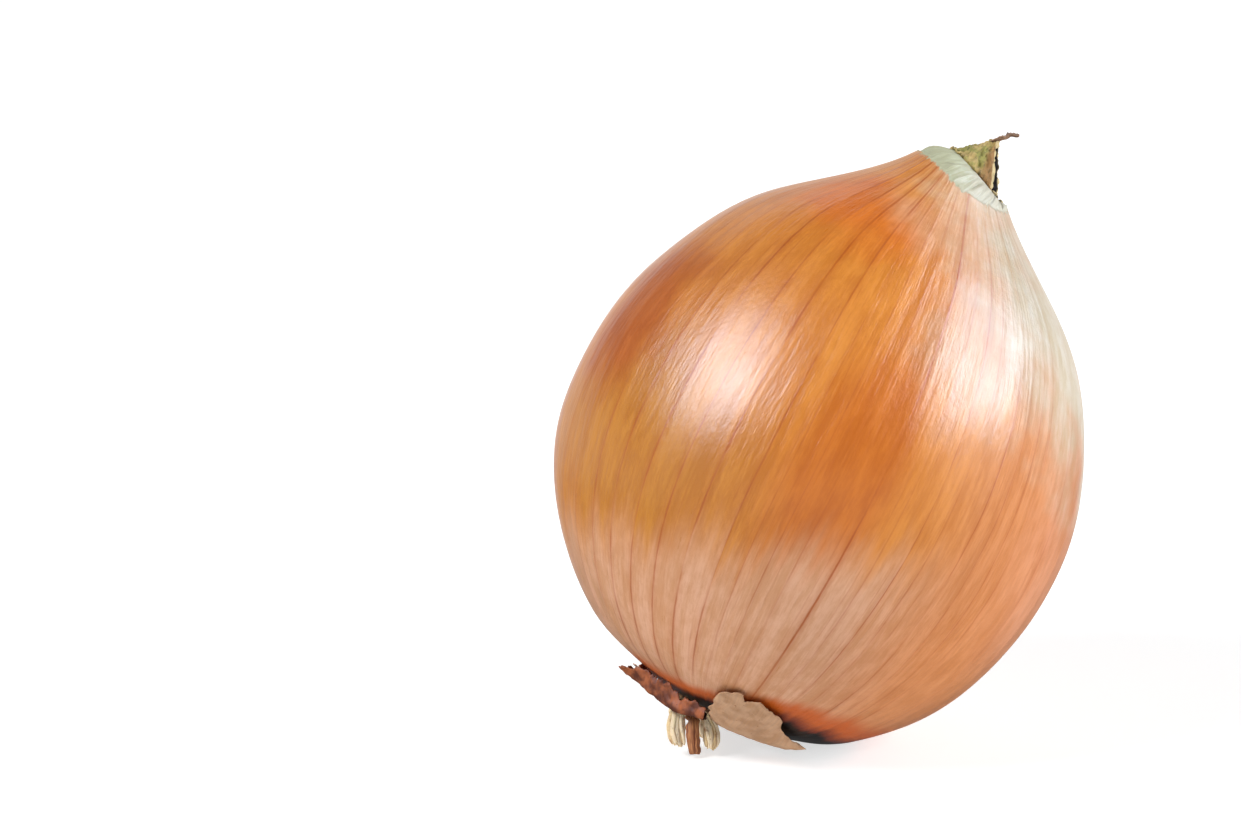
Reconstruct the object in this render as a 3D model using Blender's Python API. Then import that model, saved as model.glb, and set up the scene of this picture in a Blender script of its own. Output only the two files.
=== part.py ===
"""A brown onion leaning on a small flat spot, with its dried neck, trimmed roots and torn skin.

Lengths are in millimetres until a mesh is finished. The bulb, neck and skin are shaped in the
onion's own frame: +Z runs from the roots to the neck, +X is its right side and -Y its front.
An empty then leans that frame over, so that the bulb stands on its flat spot, and the centre
of the flat spot is the origin. The roots hang straight down, so they are shaped where they
hang, in the standing frame.
"""

import math

import bmesh
import bpy
from mathutils import Matrix, Vector

MM = 0.001
GAP = 0.3
SHARP_ANGLE = math.radians(40)

# The stance: the axis leans towards the heading, and the turn brings the front to -Y.
LEAN = math.radians(28.6)
HEADING = math.radians(18.4)
TURN = math.radians(-21.8)
FLAT_SPOT_DEPTH = 0.9

# The bulb's outline: two quarter ellipses that meet at the belly, a flatter underside that
# ends at the root ring, and a hollow-sided cone up to the edge of the skin at the neck.
BULB_COLUMNS = 72
BELLY_RADIUS = 39.7
BELLY_HEIGHT = 39.2
LOWER_REACH = 40.8
UPPER_REACH = 45.8
UNDERSIDE_RADIUS = 22.5
ROOT_RING_RADIUS = 11.0
ROOT_RING_HEIGHT = 0.9
ROOT_RING_SLOPE = 0.35
SHOULDER_HEIGHT = 75.9
SKIN_EDGE_RADIUS = 8.0
SKIN_EDGE_HEIGHT = 89.3
SKIN_EDGE_SLOPE = -0.8
SKIN_STEP = 0.4

# The centre line bends to the right at the roots and to the left at the neck.
ROOT_SHIFT = 2.6
NECK_SHIFT = -1.2

# The girth swells and pinches a little on its way round: (share of the radius, times, phase).
SWELLS = ((0.006, 2, -math.pi / 2), (0.004, 3, -math.pi / 2))

# The top of the neck slants down to the right, and so does the stub that sits in it.
NECK_SLANT = -0.4
STUB_RADIUS = 4.7
STUB_SHIFT = 1.35
STUB_SEAT_HEIGHT = 89.6
STUB_TIP_HEIGHT = 97.0
STUB_CUT_OFFSET = 0.55
STUB_WALL = 0.7
STUB_HOLLOW_DEPTH = 0.9
STUB_COLUMNS = 20

PLATE_RADIUS = 8.5
PLATE_RECESS = 1.2
PLATE_DEPTH = 1.8
PLATE_COLUMNS = 24

FLAKE_THICKNESS = 0.5
FLAKE_ROOT = (11.7, 0.1)
FLAKE_ROWS = 6


def hermite(share, start, end, start_slope, end_slope):
    """A cubic from start to end, with slopes per unit of share."""
    square = share * share
    cube = square * share
    return (
        (2 * cube - 3 * square + 1) * start
        + (cube - 2 * square + share) * start_slope
        + (3 * square - 2 * cube) * end
        + (cube - square) * end_slope
    )


def ellipse_height(radius):
    """Height of the lower ellipse at a radius."""
    return BELLY_HEIGHT - LOWER_REACH * math.sqrt(1 - (radius / BELLY_RADIUS) ** 2)


def ellipse_slope(radius):
    """Rise of the lower ellipse per unit of radius."""
    across = radius / BELLY_RADIUS
    return LOWER_REACH / BELLY_RADIUS * across / math.sqrt(1 - across**2)


def underside_height(radius):
    """Height of the flatter underside, between the root ring and the lower ellipse."""
    run = UNDERSIDE_RADIUS - ROOT_RING_RADIUS
    return hermite(
        (radius - ROOT_RING_RADIUS) / run,
        ROOT_RING_HEIGHT,
        ellipse_height(UNDERSIDE_RADIUS),
        ROOT_RING_SLOPE * run,
        ellipse_slope(UNDERSIDE_RADIUS) * run,
    )


def centre_shift(height):
    """Sideways place of the centre line at a height."""
    if height < BELLY_HEIGHT:
        return ROOT_SHIFT * (1 - height / BELLY_HEIGHT) ** 3
    return NECK_SHIFT * ((height - BELLY_HEIGHT) / (SKIN_EDGE_HEIGHT - BELLY_HEIGHT)) ** 2


def swell(angle):
    """How far the radius departs from round at an angle."""
    return 1 + sum(share * math.cos(times * angle + phase) for share, times, phase in SWELLS)


def around(angle, row):
    """The point of a row (radius, height, shift, slant) at an angle from the right to the front."""
    radius, height, shift, slant = row
    across = radius * math.cos(angle)
    return Vector((shift + across, -radius * math.sin(angle), height + slant * across))


def root_recess_rows():
    """Rows from the recess that holds the root plate out to the root ring."""
    return [
        (PLATE_RADIUS + GAP, ROOT_RING_HEIGHT + PLATE_RECESS, ROOT_SHIFT, 0),
        (PLATE_RADIUS + 2 * GAP, ROOT_RING_HEIGHT, ROOT_SHIFT, 0),
        (ROOT_RING_RADIUS - 3 * GAP, ROOT_RING_HEIGHT - GAP, ROOT_SHIFT, 0),
    ]


def lower_rows():
    """Rows from the root ring to just below the belly."""
    rows = []
    flat_steps = 7
    for step in range(flat_steps):
        share = step / flat_steps
        radius = ROOT_RING_RADIUS + (UNDERSIDE_RADIUS - ROOT_RING_RADIUS) * share
        rows.append((radius, underside_height(radius)))
    first = math.acos(UNDERSIDE_RADIUS / BELLY_RADIUS)
    round_steps = 11
    for step in range(round_steps):
        angle = first * (1 - step / round_steps)
        rows.append((BELLY_RADIUS * math.cos(angle), BELLY_HEIGHT - LOWER_REACH * math.sin(angle)))
    return [(radius, height, centre_shift(height), 0) for radius, height in rows]


def upper_rows():
    """Rows from the belly to the edge of the skin at the neck."""
    rows = []
    last = math.asin((SHOULDER_HEIGHT - BELLY_HEIGHT) / UPPER_REACH)
    round_steps = 11
    for step in range(round_steps):
        angle = last * step / round_steps
        rows.append((BELLY_RADIUS * math.cos(angle), BELLY_HEIGHT + UPPER_REACH * math.sin(angle)))
    shoulder_radius = BELLY_RADIUS * math.cos(last)
    shoulder_slope = -BELLY_RADIUS / UPPER_REACH * math.tan(last)
    run = SKIN_EDGE_HEIGHT - SHOULDER_HEIGHT
    cone_steps = 7
    for step in range(cone_steps + 1):
        share = step / cone_steps
        radius = hermite(
            share, shoulder_radius, SKIN_EDGE_RADIUS, shoulder_slope * run, SKIN_EDGE_SLOPE * run
        )
        rows.append((radius, SHOULDER_HEIGHT + run * share))
    return [(radius, height, centre_shift(height), 0) for radius, height in rows]


def collar_rows():
    """Rows over the pale collar and down into the seat of the stub."""
    seat_radius = STUB_RADIUS + GAP
    return [
        (SKIN_EDGE_RADIUS - SKIN_STEP, SKIN_EDGE_HEIGHT + 0.1, NECK_SHIFT + 0.2, 0),
        (6.5, 89.9, 0.1, NECK_SLANT / 2),
        (seat_radius + 0.4, 90.5, STUB_SHIFT, NECK_SLANT),
        (seat_radius, 90.3, STUB_SHIFT, NECK_SLANT),
        (seat_radius, STUB_SEAT_HEIGHT, STUB_SHIFT, NECK_SLANT),
    ]


def stance():
    """The matrix, in millimetres, that leans the onion's own frame over onto its flat spot."""
    turned = (
        Matrix.Rotation(HEADING, 4, "Z") @ Matrix.Rotation(LEAN, 4, "Y") @ Matrix.Rotation(TURN, 4, "Z")
    )
    outside = [
        turned @ around(math.radians(degree), (row[0] * swell(math.radians(degree)), *row[1:]))
        for row in lower_rows()
        for degree in range(360)
    ]
    lowest = min(outside, key=lambda point: point.z)
    return Matrix.Translation(Vector((0, 0, -FLAT_SPOT_DEPTH)) - lowest) @ turned


def turned_body(rows, columns, first_centre, last_centre, swelling=False):
    """A closed body turned from rows, with a fan of triangles at each end."""
    bm = bmesh.new()
    angles = [-math.tau * step / columns for step in range(columns)]
    rings = []
    for radius, height, shift, slant in rows:
        girths = [radius * swell(angle) if swelling else radius for angle in angles]
        points = [around(angle, (girth, height, shift, slant)) for angle, girth in zip(angles, girths)]
        rings.append([bm.verts.new(point) for point in points])
    join_rings(bm, rings)
    close_ring(bm, rings[0], first_centre)
    close_ring(bm, rings[-1], last_centre)
    return bm


def join_rings(bm, rings):
    """Walls between rings of equal count that run the same way round."""
    for low, high in zip(rings, rings[1:]):
        for index in range(len(low)):
            after = (index + 1) % len(low)
            bm.faces.new((low[index], low[after], high[after], high[index]))


def close_ring(bm, loop, centre):
    """A fan of triangles from a ring to a centre point."""
    middle = bm.verts.new(centre)
    for index in range(len(loop)):
        bm.faces.new((loop[index], loop[(index + 1) % len(loop)], middle))


def material(name, colour, roughness):
    """A plain dry finish."""
    made = bpy.data.materials.new(name)
    made.use_nodes = True
    shader = made.node_tree.nodes["Principled BSDF"]
    shader.inputs["Base Color"].default_value = (*colour, 1)
    shader.inputs["Roughness"].default_value = roughness
    shader.inputs["Metallic"].default_value = 0
    return made


def piece(bm, name, parent, colour, roughness):
    """Turns a millimetre mesh into a named object in metres."""
    bmesh.ops.scale(bm, vec=(MM, MM, MM), verts=bm.verts)
    mesh = bpy.data.meshes.new(name)
    bm.to_mesh(mesh)
    bm.free()
    mesh.shade_smooth()
    mesh.set_sharp_from_angle(angle=SHARP_ANGLE)
    made = bpy.data.objects.new(name, mesh)
    made.data.materials.append(material(name, colour, roughness))
    made.parent = parent
    bpy.context.scene.collection.objects.link(made)
    return made


def solid_piece(bm, name, parent, colour, roughness):
    """A piece from a closed mesh, with its faces turned outwards first."""
    bmesh.ops.recalc_face_normals(bm, faces=bm.faces)
    return piece(bm, name, parent, colour, roughness)


def make_floor_cutter():
    """A block whose top face is the floor, which cuts the flat spot."""
    size = 60
    bm = bmesh.new()
    bmesh.ops.create_cube(bm, size=size)
    bmesh.ops.translate(bm, vec=(0, 0, -size / 2), verts=bm.verts)
    cutter = piece(bm, "floor_cutter", None, (1, 1, 1), 1)
    cutter.hide_render = True
    cutter.display_type = "WIRE"
    return cutter


def make_bulb(parent):
    """The bulb with its tight skin, turned from its outline and cut flat where it stands."""
    rows = root_recess_rows() + lower_rows() + upper_rows() + collar_rows()
    bm = turned_body(
        rows,
        BULB_COLUMNS,
        (ROOT_SHIFT, 0, ROOT_RING_HEIGHT + PLATE_RECESS),
        (STUB_SHIFT, 0, STUB_SEAT_HEIGHT),
        swelling=True,
    )
    bulb = solid_piece(bm, "bulb", parent, (0.60, 0.26, 0.06), 0.35)
    flat_spot = bulb.modifiers.new("flat_spot", "BOOLEAN")
    flat_spot.operation = "DIFFERENCE"
    flat_spot.solver = "EXACT"
    flat_spot.object = make_floor_cutter()


def make_neck_stub(parent):
    """The dried leaf bases: a squat cone, cut upright on its right side and hollow there."""
    base = STUB_SEAT_HEIGHT + GAP
    rows = [
        (STUB_RADIUS - 0.3, base, STUB_SHIFT, NECK_SLANT),
        (STUB_RADIUS, base + 1.0, STUB_SHIFT, NECK_SLANT),
        (STUB_RADIUS - 0.7, base + 2.3, STUB_SHIFT, 0.75 * NECK_SLANT),
        (2.8, base + 4.1, STUB_SHIFT, 0.5 * NECK_SLANT),
        (1.3, base + 5.9, STUB_SHIFT, 0),
    ]
    bm = turned_body(rows, STUB_COLUMNS, (STUB_SHIFT, 0, base), (STUB_SHIFT, 0, STUB_TIP_HEIGHT))
    right = stance().to_3x3().inverted() @ Vector((1, 0, 0))
    bmesh.ops.bisect_plane(
        bm,
        geom=bm.verts[:] + bm.edges[:] + bm.faces[:],
        plane_co=(STUB_SHIFT + STUB_CUT_OFFSET, 0, STUB_TIP_HEIGHT),
        plane_no=right,
        clear_outer=True,
    )
    rim = [edge for edge in bm.edges if edge.is_boundary]
    cut_face = bmesh.ops.edgeloop_fill(bm, edges=rim)["faces"][0]
    bmesh.ops.inset_region(bm, faces=[cut_face], thickness=STUB_WALL, use_even_offset=True)
    bmesh.ops.translate(bm, vec=-STUB_HOLLOW_DEPTH * right, verts=cut_face.verts)
    solid_piece(bm, "neck_stub", parent, (0.28, 0.24, 0.09), 0.8)


def make_strand(name, parent, stations, colour, sides):
    """A closed strand through stations of (centre, half width, half depth), oval in section.

    Its width lies along X and its depth along Y, and both ends are blunt points.
    """
    bm = bmesh.new()
    angles = [-math.tau * step / sides for step in range(sides)]
    rings = []
    for centre, half_width, half_depth in stations:
        ovals = [Vector((half_width * math.cos(a), half_depth * math.sin(a), 0)) for a in angles]
        rings.append([bm.verts.new(Vector(centre) + oval) for oval in ovals])
    join_rings(bm, rings)
    point_length = 0.3
    centres = [Vector(centre) for centre, half_width, half_depth in stations]
    close_ring(bm, rings[0], centres[0] + point_length * (centres[0] - centres[1]).normalized())
    close_ring(bm, rings[-1], centres[-1] + point_length * (centres[-1] - centres[-2]).normalized())
    solid_piece(bm, name, parent, colour, 0.8)


def make_neck_shred(parent):
    """The torn strip of dry leaf that points up and to the right from the top of the stub."""
    stations = [
        ((2.1, -0.3, 97.3), 0.35, 0.9),
        ((2.8, -0.4, 98.0), 0.5, 1.0),
        ((3.4, -0.5, 98.6), 0.4, 0.8),
        ((3.95, -0.6, 99.2), 0.2, 0.4),
    ]
    make_strand("neck_shred", parent, stations, (0.30, 0.18, 0.11), 8)


def make_root_plate(parent):
    """The corky disc that the roots grow from: a shallow dome that hangs from the recess."""
    top = ROOT_RING_HEIGHT + PLATE_RECESS - GAP
    rows = [(PLATE_RADIUS, top, ROOT_SHIFT, 0)]
    dome_steps = 4
    for step in range(dome_steps):
        angle = math.pi / 2 * step / dome_steps
        height = ROOT_RING_HEIGHT - PLATE_DEPTH * math.sin(angle)
        rows.append((PLATE_RADIUS * math.cos(angle), height, ROOT_SHIFT, 0))
    lowest = ROOT_RING_HEIGHT - PLATE_DEPTH
    bm = turned_body(rows, PLATE_COLUMNS, (ROOT_SHIFT, 0, top), (ROOT_SHIFT, 0, lowest))
    solid_piece(bm, "root_plate", parent, (0.16, 0.09, 0.05), 0.9)


def make_roots():
    """The trimmed roots: clumps and a strand that hang from the plate almost to the floor."""
    clumps = {
        "root_lobe_left": [
            ((-22.2, -12.3, 7.5), 0.9, 0.9),
            ((-22.7, -13.1, 6.0), 1.4, 1.4),
            ((-22.95, -13.8, 4.4), 1.6, 1.6),
            ((-22.8, -14.3, 3.0), 1.4, 1.4),
            ((-22.3, -14.7, 1.9), 0.8, 0.9),
        ],
        "root_lobe_right": [
            ((-18.0, -12.9, 5.8), 0.9, 0.9),
            ((-17.7, -13.6, 4.8), 1.3, 1.4),
            ((-17.5, -14.1, 3.5), 1.4, 1.5),
            ((-17.5, -14.4, 2.2), 1.3, 1.4),
            ((-17.8, -14.6, 1.2), 0.8, 1.0),
        ],
        "root_lobe_middle": [
            ((-18.2, -7.2, 3.6), 1.4, 1.4),
            ((-18.3, -7.4, 2.8), 1.9, 2.0),
            ((-18.4, -7.6, 1.9), 1.8, 1.8),
            ((-18.4, -7.6, 1.2), 1.0, 1.0),
        ],
        "root_lobe_back": [
            ((-21.4, -0.9, 4.8), 1.2, 1.1),
            ((-22.0, -0.3, 3.7), 1.8, 1.7),
            ((-22.4, 0.2, 2.3), 1.7, 1.6),
            ((-22.4, 0.6, 1.2), 0.9, 1.0),
        ],
    }
    for name, stations in clumps.items():
        make_strand(name, None, stations, (0.72, 0.52, 0.32), 12)
    strap = [
        ((-20.6, -13.4, 7.0), 0.6, 0.5),
        ((-20.4, -14.8, 5.6), 0.8, 0.5),
        ((-20.3, -15.4, 3.2), 0.8, 0.5),
        ((-20.2, -15.6, 1.0), 0.7, 0.4),
    ]
    make_strand("root_strap", None, strap, (0.43, 0.17, 0.06), 10)


def make_skin_flake(name, parent, columns, colour, root=FLAKE_ROOT):
    """A rag of dry skin that leaves the root ring, folds below it and turns up to a torn edge.

    Each column is (angle in degrees, fold radius, fold height, edge radius, edge height). A
    parabola runs from the root through the fold to the edge.
    """
    bm = bmesh.new()
    fold_share = 0.4
    grid = []
    for degrees, fold_radius, fold_height, edge_radius, edge_height in columns:
        line = []
        for row in range(FLAKE_ROWS + 1):
            share = row / FLAKE_ROWS
            at_root = (1 - share) * (fold_share - share) / fold_share
            at_fold = share * (1 - share) / (fold_share * (1 - fold_share))
            at_edge = share * (share - fold_share) / (1 - fold_share)
            radius = at_root * root[0] + at_fold * fold_radius + at_edge * edge_radius
            height = at_root * root[1] + at_fold * fold_height + at_edge * edge_height
            point = around(math.radians(degrees), (radius, height, centre_shift(height), 0))
            line.append(bm.verts.new(point))
        grid.append(line)
    for before, after in zip(grid, grid[1:]):
        for row in range(FLAKE_ROWS):
            bm.faces.new((before[row], before[row + 1], after[row + 1], after[row]))
    flake = piece(bm, name, parent, colour, 0.7)
    wall = flake.modifiers.new("thickness", "SOLIDIFY")
    wall.thickness = FLAKE_THICKNESS * MM
    wall.offset = 1


def make_skin_flakes(parent):
    """The torn skin round the root end."""
    front = [
        (43, 17.2, 1.3, 18.5, 2.4),
        (50, 16.5, 0.6, 19.0, 2.7),
        (57, 16.2, 0.35, 19.6, 3.1),
        (63, 16.0, 0.25, 21.0, 4.0),
        (68, 15.8, 0.2, 22.9, 5.2),
        (72, 15.6, 0.1, 23.2, 5.4),
        (77, 15.4, 0.0, 24.0, 6.0),
        (81, 15.2, -0.1, 22.5, 4.9),
        (84, 15.1, -0.1, 23.3, 5.5),
        (88, 15.0, 0.0, 23.4, 5.6),
        (91, 15.0, 0.2, 21.2, 4.2),
        (93, 15.0, 0.5, 19.6, 3.2),
    ]
    left = [
        (96, 12.9, -0.3, 14.3, 0.3),
        (105, 13.0, -0.9, 14.6, 0.2),
        (115, 13.0, -1.4, 14.8, 0.1),
        (127, 13.0, -1.1, 15.2, 0.4),
        (138, 13.0, -1.5, 15.4, 0.2),
        (148, 13.0, -0.9, 16.0, 0.5),
        (157, 13.1, -0.8, 16.3, -0.2),
        (165, 12.9, -0.5, 15.0, 0.5),
        (176, 12.6, -0.4, 14.0, 0.5),
    ]
    left_inner = [
        (150, 12.8, 0.65, 13.5, 1.0),
        (157, 12.8, 0.65, 14.0, 1.15),
        (164, 12.8, 0.65, 14.3, 1.2),
        (170, 12.8, 0.65, 13.6, 1.05),
    ]
    back = [
        (198, 12.6, -0.4, 13.4, 0.4),
        (210, 12.8, -0.6, 14.2, 0.7),
        (222, 13.1, -0.5, 15.4, 1.1),
        (235, 13.4, -0.3, 16.8, 1.8),
        (250, 13.6, -0.1, 17.6, 2.1),
        (262, 13.8, 0.1, 16.6, 1.8),
        (272, 14.0, 0.3, 15.6, 1.3),
    ]
    make_skin_flake("skin_flake_front", parent, front, (0.50, 0.28, 0.14))
    make_skin_flake("skin_flake_left", parent, left, (0.21, 0.05, 0.01))
    make_skin_flake("skin_flake_left_inner", parent, left_inner, (0.60, 0.36, 0.32), (12.2, 0.8))
    make_skin_flake("skin_flake_back", parent, back, (0.36, 0.15, 0.06))


for leftover in list(bpy.data.objects):
    bpy.data.objects.remove(leftover)

onion = bpy.data.objects.new("onion_axis", None)
stood = stance()
onion.matrix_world = Matrix.Translation(stood.translation * MM) @ stood.to_3x3().to_4x4()
bpy.context.scene.collection.objects.link(onion)

make_bulb(onion)
make_neck_stub(onion)
make_neck_shred(onion)
make_root_plate(onion)
make_roots()
make_skin_flakes(onion)
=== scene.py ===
"""A brown onion leaning on its flat spot: the bulb, its dried neck, its roots and its torn skin.

The bulb, neck and skin are shaped in millimetres in the onion's own frame, with +Z from the roots
to the neck, +X its right side and -Y its front. Each piece is then leaned over onto the flat spot
and brought to metres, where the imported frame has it. The roots are shaped where they hang.
"""

import math

import bpy
import numpy as np
from mathutils import Matrix, Quaternion, Vector, noise


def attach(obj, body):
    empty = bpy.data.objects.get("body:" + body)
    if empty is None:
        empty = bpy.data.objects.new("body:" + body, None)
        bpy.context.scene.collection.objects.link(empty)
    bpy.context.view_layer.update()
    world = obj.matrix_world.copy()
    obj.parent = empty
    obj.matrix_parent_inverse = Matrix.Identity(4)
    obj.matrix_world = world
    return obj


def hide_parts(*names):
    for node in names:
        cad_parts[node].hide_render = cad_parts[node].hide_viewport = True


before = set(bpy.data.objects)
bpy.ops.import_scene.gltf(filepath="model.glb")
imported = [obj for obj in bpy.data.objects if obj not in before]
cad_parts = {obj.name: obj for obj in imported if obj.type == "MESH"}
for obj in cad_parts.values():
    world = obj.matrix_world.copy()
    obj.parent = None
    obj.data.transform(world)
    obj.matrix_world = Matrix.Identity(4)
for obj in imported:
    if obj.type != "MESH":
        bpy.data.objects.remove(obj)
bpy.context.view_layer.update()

for loaded in bpy.context.selected_objects:
    loaded.select_set(False)


# The bulb: fleshy leaf bases under a tight, dry, golden-brown skin, grown as one piece. Its outline
# is two quarter ellipses, a flatter underside and a hollow-sided neck, spun round the axis. The
# skin is then pulled into the shallow panels between its veins and pleated towards the neck.

MM = 0.001
LEAN = math.radians(28.6)
HEADING = math.radians(18.4)
TURN = math.radians(-21.8)
STANCE_PLACE = (-19.37, -5.41, 5.83)

BELLY_RADIUS = 39.7
BELLY_HEIGHT = 39.2
LOWER_REACH = 40.8
UPPER_REACH = 45.8
UNDERSIDE_RADIUS = 22.5
NECK_STEPS = 36
ROOT_RING_RADIUS = 11.0
ROOT_RING_HEIGHT = 0.9
ROOT_RING_SLOPE = 0.35
SHOULDER_HEIGHT = 75.9
SKIN_EDGE_RADIUS = 8.0
SKIN_EDGE_HEIGHT = 89.3
SKIN_EDGE_SLOPE = -0.8
SKIN_STEP = 0.3
STUB_RADIUS = 4.7
STUB_SHIFT = 1.35
STUB_SEAT_HEIGHT = 89.6
STUB_TIP_HEIGHT = 97.0
NECK_SLANT = -0.4
ROOT_SHIFT = 2.6
NECK_SHIFT = -1.2

# The veins as (angle in degrees from the right side round to the front, darkness). The rest of them,
# round the back, are spread by chance. Towards the neck they bow away from FRONT_MERIDIAN.
FRONT_VEINS = [
    (0, 0.4), (10.5, 0.3), (21, 0.25), (32, 0.4), (43, 0.4), (47.3, 0.6),
    (52, 0.5), (56.4, 0.7), (63.6, 0.4), (68, 0.75), (73.4, 0.35), (80.3, 1.0),
    (88.1, 0.35), (93.5, 0.45), (98.5, 0.4), (104, 0.8), (112, 0.9), (119.6, 0.8),
    (127.6, 0.9), (135.8, 0.7), (143.5, 0.5), (152.5, 0.3), (161, 0.5),
]
VEINS = 42
FRONT_MERIDIAN = math.radians(88)
COLUMNS_PER_VEIN = 10
COLUMNS = VEINS * COLUMNS_PER_VEIN
PANEL_DEPTH = 0.045
PLEAT_DEPTH = 0.015
WAVE_DEPTH = 0.05


def hermite(share, start, end, start_slope, end_slope):
    """A cubic from start to end, with slopes per unit of share."""
    square = share * share
    cube = square * share
    return (
        (2 * cube - 3 * square + 1) * start
        + (cube - 2 * square + share) * start_slope
        + (3 * square - 2 * cube) * end
        + (cube - square) * end_slope
    )


def bulb_outline():
    """Points (radius, height) from the middle of the root recess out, up and in to the neck."""
    first = math.acos(UNDERSIDE_RADIUS / BELLY_RADIUS)
    last = math.asin((SHOULDER_HEIGHT - BELLY_HEIGHT) / UPPER_REACH)
    underside_end = BELLY_HEIGHT - LOWER_REACH * math.sin(first)
    underside_run = UNDERSIDE_RADIUS - ROOT_RING_RADIUS
    underside_slope = LOWER_REACH / BELLY_RADIUS / math.tan(first) * underside_run
    shoulder_radius = BELLY_RADIUS * math.cos(last)
    shoulder_slope = -BELLY_RADIUS / UPPER_REACH * math.tan(last)
    neck_run = SKIN_EDGE_HEIGHT - SHOULDER_HEIGHT
    neck_slopes = (shoulder_slope * neck_run, SKIN_EDGE_SLOPE * neck_run)
    ring_slope = ROOT_RING_SLOPE * underside_run
    recess_height = ROOT_RING_HEIGHT + 1.2
    points = [(0, recess_height), (4, recess_height), (8, recess_height)]
    points += [(8.8, 1.9), (8.9, 1.3), (9.2, 0.85), (9.7, 0.6), (10.3, 0.62)]
    for share in np.linspace(0, 1, 24, endpoint=False):
        height = hermite(share, ROOT_RING_HEIGHT, underside_end, ring_slope, underside_slope)
        points.append((ROOT_RING_RADIUS + underside_run * share, height))
    for angle in np.linspace(first, 0, 58, endpoint=False):
        points.append((BELLY_RADIUS * math.cos(angle), BELLY_HEIGHT - LOWER_REACH * math.sin(angle)))
    for angle in np.linspace(0, last, 58, endpoint=False):
        points.append((BELLY_RADIUS * math.cos(angle), BELLY_HEIGHT + UPPER_REACH * math.sin(angle)))
    for share in np.linspace(0, 1, NECK_STEPS):
        radius = hermite(share, shoulder_radius, SKIN_EDGE_RADIUS, *neck_slopes)
        points.append((radius, SHOULDER_HEIGHT + neck_run * share))
    return points


def collar_outline():
    """Points (radius, height) over the pale collar and down into the seat of the stub."""
    seat_radius = STUB_RADIUS + 0.3
    steps = [0, 0.1, 0.2, 0.32, 0.45, 0.6, 0.75, 0.88, 1]
    collar = [(hermite(s, 7.7, seat_radius + 0.4, -2.4, -1.6), 89.32 + 1.18 * s) for s in steps]
    seat = [(seat_radius + 0.1, 90.45), (seat_radius, 90.2), (seat_radius, 89.7), (0, STUB_SEAT_HEIGHT)]
    return collar + seat


skin_rows = bulb_outline()
collar_rows = collar_outline()
outline = np.array(skin_rows + collar_rows)
outline_steps = np.linalg.norm(np.diff(outline, axis=0), axis=1)
root_ring_row = 8
station = np.concatenate(([0], np.cumsum(outline_steps)))
station -= station[root_ring_row]
skin_edge_row = len(skin_rows) - 1
SKIN_EDGE_STATION = float(station[skin_edge_row])

bpy.ops.mesh.primitive_plane_add(size=1, location=(0, 0, 0))
bulb = bpy.context.object
bulb.name = "onion_bulb"
bpy.ops.object.mode_set(mode="EDIT")
bpy.ops.mesh.merge(type="CENTER")
bpy.ops.transform.translate(value=(0, 0, float(outline[0][1])))
for before, after in zip(outline, outline[1:]):
    step = (float(after[0] - before[0]), 0, float(after[1] - before[1]))
    bpy.ops.mesh.extrude_region_move(TRANSFORM_OT_translate={"value": step})
bpy.ops.mesh.select_all(action="SELECT")
bpy.ops.mesh.spin(steps=COLUMNS, angle=math.tau, center=(0, 0, 0), axis=(0, 0, 1))
bpy.ops.mesh.select_all(action="SELECT")
bpy.ops.mesh.remove_doubles(threshold=0.001)


def close_edit():
    """Turns all faces outwards and leaves edit mode."""
    bpy.ops.mesh.select_all(action="SELECT")
    bpy.ops.mesh.normals_make_consistent(inside=False)
    bpy.ops.object.mode_set(mode="OBJECT")


close_edit()


def read(rows, name, kind):
    """One value of every row of mesh data."""
    values = np.empty(len(rows), kind)
    rows.foreach_get(name, values)
    return values


def mesh_points(piece):
    """The places of a mesh's points as an array."""
    points = np.empty(len(piece.data.vertices) * 3, np.float32)
    piece.data.vertices.foreach_get("co", points)
    return points.reshape(-1, 3).astype(float)


def move_points(piece, points):
    """Puts a mesh's points at new places."""
    piece.data.vertices.foreach_set("co", points.astype(np.float32).ravel())
    piece.data.update()


def smooth_share(value, start, end):
    """0 before start and 1 after end, with an eased way between."""
    share = np.clip((value - start) / (end - start), 0, 1)
    return share * share * (3 - 2 * share)


spun = mesh_points(bulb)
spun_radius = np.hypot(spun[:, 0], spun[:, 1])
spun_row = np.empty(len(spun), int)
for start in range(0, len(spun), 4000):
    part = slice(start, start + 4000)
    across = np.abs(spun_radius[part, None] - outline[None, :, 0])
    along = np.abs(spun[part, None, 2] - outline[None, :, 1])
    spun_row[part] = (across + along).argmin(1)
phase = (np.arctan2(-spun[:, 1], spun[:, 0]) / math.tau * VEINS) % VEINS
phase = np.round(phase * COLUMNS_PER_VEIN) / COLUMNS_PER_VEIN % VEINS

chance = np.random.default_rng(7)
back_veins = VEINS - len(FRONT_VEINS)
vein_places = [vein[0] for vein in FRONT_VEINS]
back_places = np.linspace(FRONT_VEINS[-1][0], 360, back_veins + 2)[1:-1]
vein_places += list(back_places + chance.uniform(-2, 2, back_veins))
vein_places.append(360)
vein_darkness = np.append([vein[1] for vein in FRONT_VEINS], chance.uniform(0.25, 0.95, back_veins))
around_angle = np.radians(np.interp(phase, np.arange(VEINS + 1), vein_places))
plain_height = outline[spun_row, 1]
bow = np.interp(plain_height, [40, 56, 64, 71, 77, 85, 90], [0, 0.03, 0.06, 0.1, 0.16, 0.22, 0.25])
around_angle = around_angle + bow * np.sin(around_angle - FRONT_MERIDIAN)
panel_wave = chance.uniform(-1, 1, VEINS)
panel_deep = chance.uniform(0.35, 1.25, VEINS)


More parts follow.
